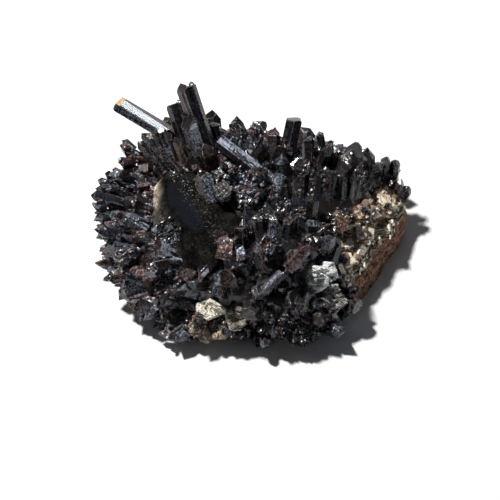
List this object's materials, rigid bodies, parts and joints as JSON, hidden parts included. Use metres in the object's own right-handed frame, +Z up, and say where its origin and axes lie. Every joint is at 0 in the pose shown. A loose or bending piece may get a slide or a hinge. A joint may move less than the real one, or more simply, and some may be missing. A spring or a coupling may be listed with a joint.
{
  "type": "smoky quartz cluster",
  "caption": "Cluster of near-black smoky quartz prisms radiating from a low mound of rusty host rock, cut flat below to stand on a shelf as a display specimen.",
  "frame": {"origin": "on the flat underside of the host rock, near its middle", "axes": "+X along the cluster's longest extent, towards the bare side of the rock, +Y towards the tall prisms at the back, +Z up from the resting face"},
  "size_m": [0.1274, 0.1039, 0.0675],
  "materials": {
    "smoky_quartz": "glassy near-black quartz, brown and see-through at thin edges",
    "host_rock": "rough layered rock, rusty brown with olive and tan crust",
    "silver_mica": "silvery white flake with a pearly sheen",
    "grey_mica": "grey flake with a pale rim",
    "cream_feldspar": "cream crumbly feldspar",
    "olive_feldspar": "olive grey plate with fine hatching and a pale rim"
  },
  "bodies": {
    "root": {"host_rock": "host_rock", "silver_flake": "silver_mica", "grey_flake": "grey_mica", "cream_chunk": "cream_feldspar", "leaf_plate": "olive_feldspar", "broad_crystal": "smoky_quartz", "back_left_crystals": "smoky_quartz", "centre_crystals": "smoky_quartz", "left_fan_crystals": "smoky_quartz", "back_row_crystals": "smoky_quartz", "right_wall_crystals": "smoky_quartz", "right_edge_crystals": "smoky_quartz", "front_ridge_crystals": "smoky_quartz", "front_left_crystals": "smoky_quartz", "front_middle_crystals": "smoky_quartz", "front_right_crystals": "smoky_quartz", "rear_left_crystals": "smoky_quartz", "rear_right_crystals": "smoky_quartz"}
  },
  "joints": []
}
